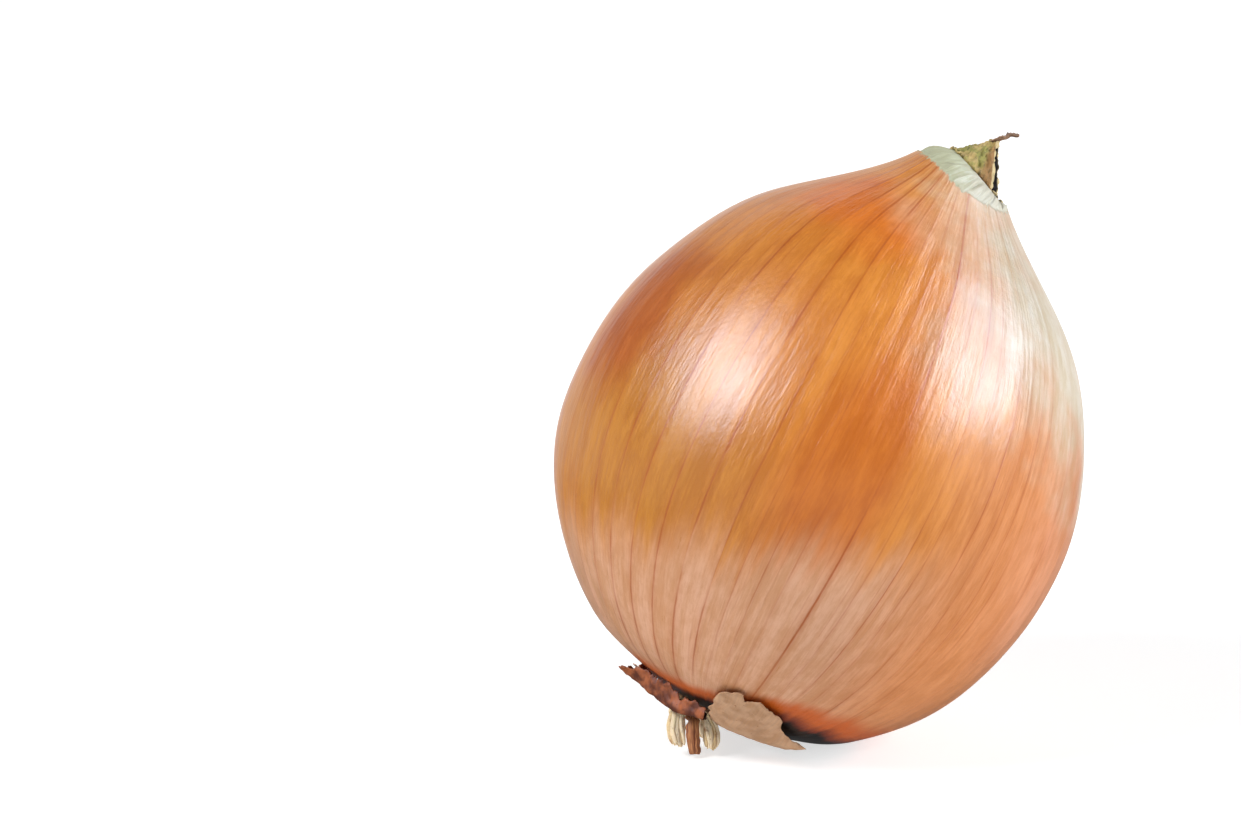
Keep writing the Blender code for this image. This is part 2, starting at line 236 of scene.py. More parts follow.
def centre_shift(height):
    """Sideways place of the centre line at a height."""
    below = ROOT_SHIFT * np.clip(1 - height / BELLY_HEIGHT, 0, None) ** 3
    above = NECK_SHIFT * np.clip((height - BELLY_HEIGHT) / (SKIN_EDGE_HEIGHT - BELLY_HEIGHT), 0, None) ** 2
    return below + above


def swell(angle):
    """How far the girth departs from round at an angle."""
    return 1 + 0.006 * np.cos(2 * angle - math.pi / 2) + 0.004 * np.cos(3 * angle - math.pi / 2)


def soft_noise(*axes):
    """Soft noise at places given by their three axes, each a number or an array."""
    return np.array([noise.noise(Vector(place)) for place in zip(*np.broadcast_arrays(*axes))])


def neck_reach(height):
    """Radius of the skin at a height on the neck, carried on straight above its plain edge."""
    table = np.array(skin_rows[-NECK_STEPS:])
    beyond = SKIN_EDGE_RADIUS + SKIN_EDGE_SLOPE * (height - SKIN_EDGE_HEIGHT)
    return np.where(height > SKIN_EDGE_HEIGHT, beyond, np.interp(height, table[:, 1], table[:, 0]))


def skin_edge_height(angle):
    """How high the torn edge of the skin reaches round the neck."""
    dip = np.interp(
        np.degrees(angle) % 360,
        [0, 30, 68, 88, 102, 127, 180, 240, 300, 360],
        [88.6, 87.4, 86.9, 87.2, 88.2, 89.5, 90.2, 89.3, 88.3, 88.6],
    )
    right = np.cos(angle)
    front = np.sin(angle)
    ragged = 0.35 * soft_noise(2.2 * right, 2.2 * front, 3.1) + 0.3 * soft_noise(7 * right, 7 * front, 5.7)
    return dip + ragged + 0.35 * soft_noise(19 * right, 19 * front, 1.2)


panel = np.floor(phase).astype(int) % VEINS
into_panel = phase - np.floor(phase)
hollow = 1 - (2 * into_panel - 1) ** 2
next_panel = (panel + 1) % VEINS
eased = smooth_share(into_panel, 0, 1)
wave = panel_wave[panel] * (1 - eased) + panel_wave[next_panel] * eased
deep = panel_deep[panel]
outline_way = np.gradient(outline, axis=0)
outline_out = np.stack([outline_way[:, 1], -outline_way[:, 0]], 1)
outline_out /= np.linalg.norm(outline_out, axis=1)[:, None]
edge_height = skin_edge_height(around_angle)

radius = outline[spun_row, 0] * swell(around_angle)
height = outline[spun_row, 1].copy()
shift = centre_shift(height)
slant = np.zeros(len(spun))

lift = edge_height - SKIN_EDGE_HEIGHT
on_neck = spun_row <= skin_edge_row
linear_share = np.clip((height - SHOULDER_HEIGHT) / (SKIN_EDGE_HEIGHT - SHOULDER_HEIGHT), 0, 1)
lifted = height + lift * linear_share**2 * on_neck
neck_height = np.clip(lifted, SHOULDER_HEIGHT, None)
is_cone = on_neck & (linear_share > 0)
radius = np.where(is_cone, neck_reach(neck_height) * swell(around_angle), radius)
height = np.where(is_cone, neck_height, height)
shift = np.where(is_cone, centre_shift(np.minimum(height, SKIN_EDGE_HEIGHT)), shift)

collar_first = skin_edge_row + 1
collar_last = skin_edge_row + 9
rim_radius = STUB_RADIUS + 0.7
collar_share = (station[spun_row] - station[collar_first]) / (station[collar_last] - station[collar_first])
on_collar = (spun_row >= collar_first) & (spun_row <= collar_last)
collar_share = np.clip(collar_share, 0, 1)
edge_radius = neck_reach(edge_height) * swell(around_angle) - SKIN_STEP
around_cos = np.cos(around_angle)
around_sin = np.sin(around_angle)
rim_height = 90.5 + NECK_SLANT * rim_radius * around_cos
crumple = 0.6 * soft_noise(4 * around_cos, 4 * around_sin, 1.5 * collar_share)
crumple += 0.5 * soft_noise(13 * around_cos, 13 * around_sin, collar_share + 4)
bulge = (0.35 + 0.7 * crumple) * np.sin(math.pi * collar_share)
radius = np.where(on_collar, edge_radius + (rim_radius - edge_radius) * collar_share + bulge, radius)
height = np.where(on_collar, edge_height + (rim_height - edge_height) * collar_share + bulge, height)
shift = np.where(on_collar, NECK_SHIFT + (STUB_SHIFT - NECK_SHIFT) * collar_share, shift)
in_seat = spun_row > collar_last
shift = np.where(in_seat, STUB_SHIFT, shift)
slant = np.where(in_seat, NECK_SLANT, 0)

root_fade = smooth_share(station[spun_row], 0, 14)
near_neck = smooth_share(height, 62, 84)
collar_fade = 1 - 0.6 * on_collar - in_seat
panels = -PANEL_DEPTH * hollow * deep * (1 - 0.5 * near_neck)
pleats = -PLEAT_DEPTH * near_neck * (0.5 - 0.5 * np.cos(math.tau * into_panel)) * deep
slow = [noise.noise(Vector(p) * 0.055) for p in spun]
waves = WAVE_DEPTH * wave + 0.45 * np.array(slow)
push = (panels + pleats + waves * (1 - 0.5 * near_neck)) * root_fade * collar_fade
radius += push * outline_out[spun_row, 0]
height += push * outline_out[spun_row, 1]

sideways = radius * around_cos
move_points(bulb, np.stack([shift + sideways, -radius * around_sin, height + slant * sideways], 1))

turned = Matrix.Rotation(HEADING, 4, "Z") @ Matrix.Rotation(LEAN, 4, "Y") @ Matrix.Rotation(TURN, 4, "Z")
stance = Matrix.Translation(STANCE_PLACE) @ turned


def stand(piece):
    """Leans a piece over with the bulb and brings it from millimetres to metres."""
    piece.data.transform(Matrix.Scale(MM, 4) @ stance)
    piece.data.update()


stand(bulb)
stood = mesh_points(bulb)
stood[:, 2] = np.maximum(stood[:, 2], 0)
move_points(bulb, stood)
bulb.data.shade_smooth()

loop_point = read(bulb.data.loops, "vertex_index", int)
face_count = read(bulb.data.polygons, "loop_total", int)
face_of_loop = np.repeat(np.arange(len(face_count)), face_count)
loop_phase = phase[loop_point]
is_pole = spun_radius[loop_point] < 0.01
low = np.full(len(face_count), 1e9)
high = np.full(len(face_count), -1e9)
np.minimum.at(low, face_of_loop[~is_pole], loop_phase[~is_pole])
np.maximum.at(high, face_of_loop[~is_pole], loop_phase[~is_pole])
wraps = (high - low)[face_of_loop] > VEINS / 2
loop_phase = np.where(wraps & (loop_phase < VEINS / 2), loop_phase + VEINS, loop_phase)
middle = np.where(high - low > VEINS / 2, VEINS, (high + low) / 2)
loop_phase = np.where(is_pole, middle[face_of_loop], loop_phase)
dark_mark = bulb.data.attributes.new("vein_darkness", "FLOAT", "POINT")
nearest_vein = np.round(phase).astype(int) % VEINS
dark_mark.data.foreach_set("value", vein_darkness[nearest_vein].astype(np.float32))
skin_map = bulb.data.uv_layers.new(name="skin")
skin_uv = np.stack([loop_phase, station[spun_row][loop_point]], 1)
skin_map.uv.foreach_set("vector", skin_uv.astype(np.float32).ravel())


def paint(red, green, blue):
    """A colour as it reads on a screen, turned into light."""
    parts = [value / 255 for value in (red, green, blue)]
    return (*(p / 12.92 if p <= 0.04045 else ((p + 0.055) / 1.055) ** 2.4 for p in parts), 1)


def new_finish(name):
    """A new material's node tree, its shader and the material."""
    made = bpy.data.materials.new(name)
    made.use_nodes = True
    return made, made.node_tree, made.node_tree.nodes["Principled BSDF"]


def add(tree, kind, sockets, **settings):
    """A node with its settings, whose inputs are values or other nodes' outputs."""
    made = tree.nodes.new("ShaderNode" + kind)
    for name, value in settings.items():
        setattr(made, name, value)
    for key, value in sockets.items():
        if isinstance(value, bpy.types.NodeSocket):
            tree.links.new(value, made.inputs[key])
        else:
            made.inputs[key].default_value = value
    return made


def calc(tree, operation, *values):
    """Arithmetic on values and sockets."""
    return add(tree, "Math", dict(enumerate(values)), operation=operation).outputs[0]


def plus(tree, first, second):
    """The sum of two values."""
    return calc(tree, "ADD", first, second)


def minus(tree, first, second):
    """The first value less the second."""
    return calc(tree, "SUBTRACT", first, second)


def times(tree, first, second):
    """The product of two values."""
    return calc(tree, "MULTIPLY", first, second)


def ease(tree, value, start, end, low=0.0, high=1.0):
    """Low before start and high after end, with an eased way between."""
    sockets = {"Value": value, "From Min": start, "From Max": end, "To Min": low, "To Max": high}
    return add(tree, "MapRange", sockets, interpolation_type="SMOOTHSTEP").outputs[0]


def mix(tree, share, first, second):
    """The first colour going over to the second as the share rises."""
    return add(tree, "Mix", {0: share, 6: first, 7: second}, data_type="RGBA").outputs[2]


def grain(tree, place, scale, detail=3.0, roughness=0.5):
    """Soft noise from 0 to 1."""
    sockets = {"Vector": place, "Scale": scale, "Detail": detail, "Roughness": roughness}
    return add(tree, "TexNoise", sockets).outputs[0]


def stretched(tree, place, *scale):
    """A place scaled along each axis, which draws a pattern out along the smaller ones."""
    return add(tree, "Mapping", {"Vector": place, "Scale": scale}).outputs[0]


def onion_place(tree):
    """Where a point is in the onion's own frame, in millimetres."""
    place = add(tree, "TexCoord", {}).outputs["Object"]
    sockets = {
        "Vector": place,
        "Location": tuple(stance.translation * MM),
        "Rotation": stance.to_euler(),
        "Scale": (MM, MM, MM),
    }
    return add(tree, "Mapping", sockets, vector_type="TEXTURE").outputs[0]


def patch(tree, place, centre, size, soft=0.5):
    """1 inside an oval place on the onion, fading to 0 at its edge."""
    away = add(tree, "VectorMath", {0: place, 1: centre}, operation="SUBTRACT").outputs[0]
    scaled = add(tree, "VectorMath", {0: away, 1: size}, operation="DIVIDE").outputs[0]
    far = add(tree, "VectorMath", {0: scaled}, operation="LENGTH").outputs["Value"]
    return ease(tree, far, 1 - soft, 1 + soft, 1.0, 0.0)


def on_skin(angle, height, radius=39):
    """A place on the bulb from its angle in degrees, right to front, and its height."""
    turn = math.radians(angle)
    return (radius * math.cos(turn), -radius * math.sin(turn), height)


skin, tree, shader = new_finish("golden_brown_onion_skin")
place = onion_place(tree)
skin_uv_node = add(tree, "UVMap", {}, uv_map="skin")
uv = add(tree, "SeparateXYZ", {0: skin_uv_node.outputs[0]})
u, v = uv.outputs[0], uv.outputs[1]
parts = add(tree, "SeparateXYZ", {0: place})
across_square = calc(tree, "POWER", parts.outputs[0], 2.0)
deep_square = calc(tree, "POWER", parts.outputs[1], 2.0)
girth = calc(tree, "SQRT", plus(tree, across_square, deep_square))

turn_round = times(tree, u, math.tau / VEINS)
ring_right = calc(tree, "COSINE", turn_round)
ring_back = calc(tree, "SINE", turn_round)
ring = add(tree, "CombineXYZ", {0: ring_right, 1: ring_back, 2: times(tree, v, 0.004)}).outputs[0]
fibres = grain(tree, ring, 70.0, 4.0, 0.65)
streaks = grain(tree, ring, 9.0, 3.0, 0.6)
bands = grain(tree, ring, 24.0, 3.0, 0.6)

nearest = calc(tree, "ROUND", u)
vein_name = calc(tree, "FLOORED_MODULO", nearest, float(VEINS))
panel_name = plus(tree, calc(tree, "FLOOR", u), 0.37)
panel_chance = add(tree, "TexWhiteNoise", {"W": panel_name}, noise_dimensions="1D").outputs["Value"]
panel_width = times(tree, girth, math.tau / VEINS)
aside = times(tree, calc(tree, "ABSOLUTE", minus(tree, u, nearest)), panel_width)
along = add(tree, "CombineXYZ", {0: vein_name, 1: times(tree, v, 0.04)})
vein_fade = grain(tree, along.outputs[0], 1.0, 3.0, 0.7)
waver = times(tree, minus(tree, fibres, 0.5), 0.25)
vein = ease(tree, plus(tree, aside, waver), 0.05, 0.24, 1.0, 0.0)
vein_glow = ease(tree, plus(tree, aside, waver), 0.0, 1.3, 1.0, 0.0)
darkness = add(tree, "Attribute", {}, attribute_name="vein_darkness").outputs["Fac"]
vein_strength = times(tree, darkness, ease(tree, vein_fade, 0.35, 0.6, 0.15, 1.0))
vein = times(tree, vein, vein_strength)
vein_glow = times(tree, vein_glow, vein_strength)
second = minus(tree, calc(tree, "FRACT", u), ease(tree, panel_chance, 0.0, 1.0, 0.2, 0.8))
second = times(tree, calc(tree, "ABSOLUTE", second), panel_width)
thread = ease(tree, plus(tree, second, waver), 0.02, 0.2, 1.0, 0.0)
thread = times(tree, thread, ease(tree, vein_fade, 0.45, 0.6, 0.0, 0.5))

ORANGE = paint(194, 119, 38)
DEEP_ORANGE = paint(180, 93, 14)
TOP_ORANGE = paint(198, 104, 22)
GOLD = paint(176, 110, 24)
TAN = paint(199, 148, 113)
SALMON = paint(194, 124, 72)
PINK = paint(200, 136, 100)
RUST = paint(164, 78, 22)
PALE = paint(192, 180, 160)
RIM = paint(190, 86, 8)
# Towards the root the orange rim is the skin's own colour. The red-brown is partly its own colour and
# partly painted shade, and the near black is painted shade under the bulb.
RED_RIM_AND_SHADE = paint(124, 44, 4)
CONTACT_SHADOW_BLACK = paint(16, 3, 1)
PEACH = paint(204, 152, 112)
NECK_GOLD = paint(204, 138, 66)
# A duller, paler tan, laid where the right highlight falls as a painted highlight wash.
HIGHLIGHT_WASH_TAN = paint(172, 130, 94)
VEIN = paint(156, 70, 10)

# The pale cap on the right shoulder is all that lies beyond a plane across the bulb.
PALE_CAP_WAY = (0.649, -0.143, 0.748)
PALE_CAP_START = 66.0


def blend_in(share, colour, strength, other):
    """Lays another colour over part of the skin."""
    return mix(tree, times(tree, share, strength), colour, other)


streak_lift = times(tree, minus(tree, streaks, 0.5), 16.0)
panel_lift = times(tree, minus(tree, panel_chance, 0.5), 5.0)
ragged = add(tree, "CombineXYZ", {2: plus(tree, streak_lift, panel_lift)}).outputs[0]
ragged_place = add(tree, "VectorMath", {0: place, 1: ragged}, operation="ADD").outputs[0]
clouds = add(tree, "TexNoise", {"Vector": place, "Scale": 0.11, "Detail": 3.0}).outputs[1]
clouds = add(tree, "VectorMath", {0: clouds, 1: (0.5, 0.5, 0.5)}, operation="SUBTRACT").outputs[0]
clouds = add(tree, "VectorMath", {0: clouds, 3: 16.0}, operation="SCALE").outputs[0]
cloudy_place = add(tree, "VectorMath", {0: place, 1: clouds}, operation="ADD").outputs[0]

colour = mix(tree, patch(tree, ragged_place, on_skin(140, 32), (22, 22, 15)), ORANGE, GOLD)
colour = blend_in(patch(tree, ragged_place, on_skin(88, 42), (8, 10, 20)), colour, 0.8, DEEP_ORANGE)
colour = blend_in(patch(tree, cloudy_place, on_skin(124, 79, 21), (12, 12, 9)), colour, 0.9, TOP_ORANGE)
colour = blend_in(patch(tree, cloudy_place, on_skin(156, 50), (9, 10, 14)), colour, 0.8, RUST)
ragged_parts = add(tree, "SeparateXYZ", {0: ragged_place})
tan_height = plus(tree, times(tree, ragged_parts.outputs[0], 0.4), 28.0)
above_tan = minus(tree, ragged_parts.outputs[2], tan_height)
colour = mix(tree, ease(tree, above_tan, 6.0, -6.0), colour, TAN)
colour = blend_in(patch(tree, ragged_place, on_skin(27, 36, 36), (23, 23, 38), 0.35), colour, 0.95, SALMON)
colour = blend_in(patch(tree, cloudy_place, on_skin(14, 44, 39), (16, 16, 20)), colour, 0.8, PINK)
# A painted highlight wash: a duller, paler patch of skin where the right highlight falls.
colour = blend_in(patch(tree, cloudy_place, on_skin(66, 69, 31), (9, 12, 14)), colour, 0.7, HIGHLIGHT_WASH_TAN)
cap_depth = add(tree, "VectorMath", {0: cloudy_place, 1: PALE_CAP_WAY}, operation="DOT_PRODUCT")
cap = ease(tree, cap_depth.outputs["Value"], PALE_CAP_START - 5.0, PALE_CAP_START + 6.0)
colour = blend_in(patch(tree, cloudy_place, on_skin(84, 80, 16), (9, 10, 10)), colour, 0.8, PEACH)
colour = blend_in(patch(tree, cloudy_place, on_skin(145, 88, 10), (14, 14, 6)), colour, 0.7, NECK_GOLD)
colour = mix(tree, cap, colour, PALE)
mottle = grain(tree, stretched(tree, place, 1, 1, 0.4), 0.4, 5.0, 0.7)
shade = ease(tree, streaks, 0.3, 0.7, 0.9, 1.1)
shade = times(tree, shade, ease(tree, fibres, 0.3, 0.7, 0.92, 1.06))
shade = times(tree, shade, ease(tree, bands, 0.3, 0.7, 0.93, 1.07))
shade = times(tree, shade, ease(tree, mottle, 0.35, 0.65, 0.93, 1.06))
tint = mix(tree, ease(tree, shade, 0.8, 1.2), (0.9, 0.83, 0.7, 1), (1.1, 1.15, 1.26, 1))
colour = add(tree, "VectorMath", {0: colour, 1: tint}, operation="MULTIPLY").outputs[0]
cap_fade = ease(tree, cap, 0.0, 1.0, 1.0, 0.35)
colour = blend_in(times(tree, vein_glow, cap_fade), colour, 0.3, VEIN)
colour = blend_in(times(tree, thread, cap_fade), colour, 0.5, VEIN)
colour = blend_in(times(tree, vein, cap_fade), colour, 0.85, VEIN)
# Towards the root ring the skin turns from its own orange rim through a red-brown, partly its own colour
# and partly painted shade, to a near black that is painted shade where the bulb turns under. On the side
# the bulb rests on, a patch pushes these colours further up as a painted contact shadow by the table.
rim_noise = times(tree, minus(tree, streaks, 0.5), 5.0)
contact_shade_reach = times(tree, patch(tree, place, on_skin(26, 5, 25), (22, 22, 14), 0.4), 12.4)
rim_and_shade_place = minus(tree, plus(tree, v, rim_noise), contact_shade_reach)
rim = ease(tree, rim_and_shade_place, 9.0, 3.6)
colour = mix(tree, rim, colour, RIM)
colour = mix(tree, ease(tree, rim_and_shade_place, 3.2, -0.6), colour, RED_RIM_AND_SHADE)
colour = mix(tree, ease(tree, rim_and_shade_place, 0.2, -2.2), colour, CONTACT_SHADOW_BLACK)
COLLAR = paint(164, 164, 134)
PALE_COLLAR = paint(186, 180, 162)
COLLAR_FIBRE = paint(150, 138, 98)
collar_place = plus(tree, v, times(tree, minus(tree, bands, 0.5), 2.4))
collar = ease(tree, collar_place, SKIN_EDGE_STATION - 0.35, SKIN_EDGE_STATION + 0.25)
collar_patches = grain(tree, place, 0.9, 4.0, 0.7)
collar_side = plus(tree, parts.outputs[0], times(tree, collar_patches, 9.0))
collar_side = plus(tree, collar_side, times(tree, bands, 8.0))
collar_colour = mix(tree, ease(tree, collar_side, 5.0, 11.0), COLLAR, PALE_COLLAR)
collar_colour = mix(tree, ease(tree, fibres, 0.5, 0.7, 0.0, 0.5), collar_colour, COLLAR_FIBRE)
colour = mix(tree, collar, colour, collar_colour)
tree.links.new(colour, shader.inputs["Base Color"])

dents = grain(tree, stretched(tree, place, 1, 1, 0.5), 1.2, 3.0, 0.6)
bumps = times(tree, fibres, 0.05)
bumps = plus(tree, bumps, times(tree, dents, 0.1))
bumps = plus(tree, bumps, times(tree, bands, 0.22))
relief = add(tree, "Bump", {"Strength": 0.6, "Distance": MM, "Height": bumps})
tree.links.new(relief.outputs[0], shader.inputs["Normal"])
gloss = plus(tree, ease(tree, fibres, 0.2, 0.8, 0.26, 0.34), ease(tree, streaks, 0.3, 0.7, 0.0, 0.06))
gloss = plus(tree, gloss, times(tree, rim, 0.15))
gloss = plus(tree, gloss, times(tree, collar, 0.35))
tree.links.new(gloss, shader.inputs["Roughness"])
shader.inputs["Specular IOR Level"].default_value = 0.5
shader.inputs["Coat Weight"].default_value = 0.15
shader.inputs["Coat Roughness"].default_value = 0.3
bulb.data.materials.append(skin)
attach(bulb, "root")
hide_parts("bulb")


# The neck stub: the dried bases of the leaves, cut off short and shrunk to a squat cone of stiff
# fibres in overlapping layers. It sits in the collar, with crumbs of leaf round it, and the cut on
# its right stands upright and shows a hollow, painted near black as painted shade.

STUB_BASE_HEIGHT = STUB_SEAT_HEIGHT + 0.3
STUB_SIDES = 120
STUB_ROWS = 40
STUB_RISES = [0, 1.0, 2.3, 4.1, 5.9, 7.0]
STUB_RADII = [4.4, 4.7, 4.0, 2.8, 1.4, 0.4]
STUB_SLANTS = [NECK_SLANT, NECK_SLANT, 0.75 * NECK_SLANT, 0.5 * NECK_SLANT, 0, 0]
STUB_LAYERS = 5
STUB_LAYER_STEP = 0.28
STUB_CUT_OFFSET = 0.35
STUB_WALL = 0.45
STUB_HOLLOW_DEPTH = 1.8
CRUMBS = 46

bpy.ops.mesh.primitive_circle_add(
    vertices=STUB_SIDES, radius=STUB_RADII[0], fill_type="TRIFAN", location=(0, 0, 0)
)
stub = bpy.context.object
stub.name = "dried_neck_stub"
bpy.ops.object.mode_set(mode="EDIT")
stub_rises = np.linspace(0, STUB_RISES[-1], STUB_ROWS)
stub_radii = np.interp(stub_rises, STUB_RISES, STUB_RADII)
for row in range(1, STUB_ROWS):
    rise = float(stub_rises[row] - stub_rises[row - 1])
    growth = float(stub_radii[row] / stub_radii[row - 1])
    bpy.ops.mesh.extrude_region_move(TRANSFORM_OT_translate={"value": (0, 0, rise)})
    bpy.ops.transform.resize(value=(growth, growth, 1), center_override=(0, 0, 0))
close_edit()

stub_points = mesh_points(stub)
stub_angle = np.arctan2(stub_points[:, 1], stub_points[:, 0])
stub_rise = stub_points[:, 2].copy()
layer = (stub_angle / math.tau * STUB_LAYERS + 0.09 * stub_rise + 0.3) % 1
layer_share = np.hypot(stub_points[:, 0], stub_points[:, 1]) / STUB_RADIUS
swollen = 1 + STUB_LAYER_STEP * (layer - 0.5) * layer_share / 2
stub_points[:, 0] *= swollen
stub_points[:, 1] *= swollen
stub_slant = np.interp(stub_rise, STUB_RISES, STUB_SLANTS)
stub_points[:, 2] += STUB_BASE_HEIGHT + stub_slant * stub_points[:, 0]
stub_points[:, 0] += STUB_SHIFT
move_points(stub, stub_points)

cut_way = stance.to_3x3().inverted() @ Vector((1, -0.25, 0)).normalized()
bpy.ops.object.mode_set(mode="EDIT")
bpy.ops.mesh.select_all(action="SELECT")
bpy.ops.mesh.bisect(
    plane_co=(STUB_SHIFT + STUB_CUT_OFFSET, 0, STUB_TIP_HEIGHT),
    plane_no=cut_way,
    use_fill=True,
    clear_outer=True,
)
bpy.ops.mesh.inset(thickness=STUB_WALL)
bpy.ops.object.mode_set(mode="OBJECT")
at_mouth = read(stub.data.vertices, "select", bool)
bpy.ops.object.mode_set(mode="EDIT")
bpy.ops.mesh.extrude_region_move(TRANSFORM_OT_translate={"value": -STUB_HOLLOW_DEPTH * cut_way})
bpy.ops.mesh.poke()
bpy.ops.object.mode_set(mode="OBJECT")
hollow_share = read(stub.data.vertices, "select", bool).astype(np.float32)
hollow_share[: len(at_mouth)] += 0.5 * at_mouth


def roughen(piece, depth, scale, stretch=(1, 1, 1), start=0.0, share=1.0):
    """Moves a mesh's points in and out along its normals by soft noise."""
    points = mesh_points(piece)
    normals = np.empty(len(points) * 3, np.float32)
    piece.data.vertices.foreach_get("normal", normals)
    places = points * scale * np.array(stretch) + start
    bumps = soft_noise(*places.T)
    move_points(piece, points + (depth * bumps * share)[:, None] * normals.reshape(-1, 3))


roughen(stub, 0.5, 1.5, (1, 1, 0.25), 3.0)
roughen(stub, 0.3, 4.0, (1, 1, 0.15), 9.0)

chance = np.random.default_rng(11)
crumbs = []
for crumb in range(CRUMBS):
    turn = math.radians(float(chance.uniform(-40, 215)))
    out = STUB_RADIUS + float(chance.uniform(-0.3, 0.9))
    across = out * math.cos(turn)
    place = (STUB_SHIFT + across, -out * math.sin(turn), 90.75 + NECK_SLANT * across)
    size = float(chance.uniform(0.18, 0.42))
    bpy.ops.mesh.primitive_ico_sphere_add(subdivisions=1, radius=size, location=place)
    bpy.ops.object.mode_set(mode="EDIT")
    bpy.ops.transform.resize(value=(float(chance.uniform(0.6, 1.7)), float(chance.uniform(0.6, 1.7)), 0.6))
    bpy.ops.transform.rotate(value=float(chance.uniform(0, 3)), orient_axis="Y", center_override=place)
    bpy.ops.object.mode_set(mode="OBJECT")
    crumbs.append(bpy.context.object)
hollow_mark = stub.data.attributes.new("hollow", "FLOAT", "POINT")
hollow_mark.data.foreach_set("value", hollow_share)


def join_onto(piece, bits):
    """Joins small bits onto a piece."""
    bpy.ops.object.select_all(action="DESELECT")
    for bit in [*bits, piece]:
        bit.select_set(True)
    bpy.context.view_layer.objects.active = piece
    bpy.ops.object.join()


join_onto(stub, crumbs)
stand(stub)
stub.data.shade_smooth()

dried_neck, tree, shader = new_finish("dried_leaf_bases")
place = onion_place(tree)
fibres = grain(tree, stretched(tree, place, 1, 1, 0.12), 2.6, 4.0, 0.7)
blotches = grain(tree, place, 0.55, 3.0)
side = add(tree, "SeparateXYZ", {0: place}).outputs[0]
side = plus(tree, side, times(tree, blotches, 3.0))
OLIVE = paint(150, 144, 78)
STRAW = paint(184, 160, 104)
BROWN = paint(150, 112, 66)
DARK_FIBRE = paint(84, 76, 44)
# Near black inside the hollow of the cut, as painted shade.
HOLLOW_SHADE = paint(26, 14, 8)
CUT_RIM = paint(214, 196, 150)
colour = mix(tree, ease(tree, blotches, 0.4, 0.62), OLIVE, STRAW)
colour = mix(tree, ease(tree, side, 1.6, 3.6), colour, BROWN)
colour = mix(tree, ease(tree, fibres, 0.5, 0.68, 0.0, 0.75), colour, DARK_FIBRE)
to_cut = add(tree, "VectorMath", {0: place, 1: cut_way}, operation="DOT_PRODUCT").outputs["Value"]
cut_reach = cut_way.dot(Vector((STUB_SHIFT + STUB_CUT_OFFSET, 0, STUB_TIP_HEIGHT)))
colour = mix(tree, ease(tree, to_cut, cut_reach - 0.25, cut_reach - 0.1, 0.0, 0.8), colour, CUT_RIM)
hollow = add(tree, "Attribute", {}, attribute_name="hollow").outputs["Fac"]
# The hollow of the cut is painted near black as painted shade.
colour = mix(tree, ease(tree, hollow, 0.42, 0.56), colour, HOLLOW_SHADE)


def dry_surface(tree, shader, colour, fibres, strength, depth, low_roughness, high_roughness):
    """Gives a dry piece its colour, the relief of its fibres and the roughness low and high on them."""
    tree.links.new(colour, shader.inputs["Base Color"])
    relief = add(tree, "Bump", {"Strength": strength, "Distance": depth * MM, "Height": fibres})
    tree.links.new(relief.outputs[0], shader.inputs["Normal"])
    tree.links.new(ease(tree, fibres, 0.3, 0.7, low_roughness, high_roughness), shader.inputs["Roughness"])


dry_surface(tree, shader, colour, fibres, 0.8, 0.3, 0.9, 0.7)
shader.inputs["Specular IOR Level"].default_value = 0.25
stub.data.materials.append(dried_neck)
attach(stub, "root")
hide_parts("neck_stub")


# The neck shred: a torn, curled strip of dry leaf that still hangs on at the tip of the stub and
# points up to the right.

SHRED_MIDDLE = [
    (1.1, -0.1, 96.3),
    (2.1, -0.3, 97.3),
    (2.8, -0.4, 98.0),
    (3.4, -0.5, 98.6),
    (4.0, -0.6, 99.2),
]
SHRED_WIDTHS = [1.3, 1.5, 1.7, 1.4, 0.3]
SHRED_THICKNESS = 0.16

bpy.ops.mesh.primitive_grid_add(x_subdivisions=40, y_subdivisions=10, size=1, location=(0, 0, 0))
shred = bpy.context.object
shred.name = "torn_neck_shred"


def shape_strip(piece, middle, widths, across_way, curl):
    """Lays a flat grid along a middle line, with its width along a direction and its edges curled."""
    grid = mesh_points(piece)
    stops = np.linspace(0, 1, len(middle))
    along = grid[:, 0] + 0.5
    line = np.stack([np.interp(along, stops, np.array(middle)[:, axis]) for axis in range(3)], 1)
    way = np.array(across_way) / np.linalg.norm(across_way)
    run = np.array(middle[-1]) - np.array(middle[0])
    face_way = np.cross(run, way)
    face_way /= np.linalg.norm(face_way)
    sides = 5 * np.copysign(1, grid[:, 1])
    ragged = soft_noise(9 * along, sides, 2)
    width = np.interp(along, stops, widths) * (1 + 0.5 * ragged)
    lift = curl * (4 * grid[:, 1] ** 2) * width
    move_points(piece, line + (grid[:, 1] * width)[:, None] * way + lift[:, None] * face_way)


def thicken(piece, thickness):
    """Gives a sheet its thickness."""
    wall = piece.modifiers.new("thickness", "SOLIDIFY")
    wall.thickness = thickness
    wall.offset = 0
    bpy.context.view_layer.objects.active = piece
    bpy.ops.object.modifier_apply(modifier=wall.name)


shape_strip(shred, SHRED_MIDDLE, SHRED_WIDTHS, (0.2, 1, 0.35), 0.35)
roughen(shred, 0.35, 0.9, start=4.0)
thicken(shred, SHRED_THICKNESS)
stand(shred)
shred.data.shade_smooth()

shred_finish, tree, shader = new_finish("torn_dry_leaf")
strip_uv = add(tree, "UVMap", {}, uv_map="UVMap").outputs[0]
fibres = grain(tree, stretched(tree, strip_uv, 1.5, 14, 1), 1.0, 3.0, 0.7)
SHRED_BROWN = paint(156, 122, 92)
SHRED_DARK = paint(70, 34, 26)
colour = mix(tree, ease(tree, fibres, 0.42, 0.62), SHRED_BROWN, SHRED_DARK)
dry_surface(tree, shader, colour, fibres, 0.6, 0.2, 0.6, 0.85)
shred.data.materials.append(shred_finish)
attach(shred, "root")
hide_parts("neck_shred")


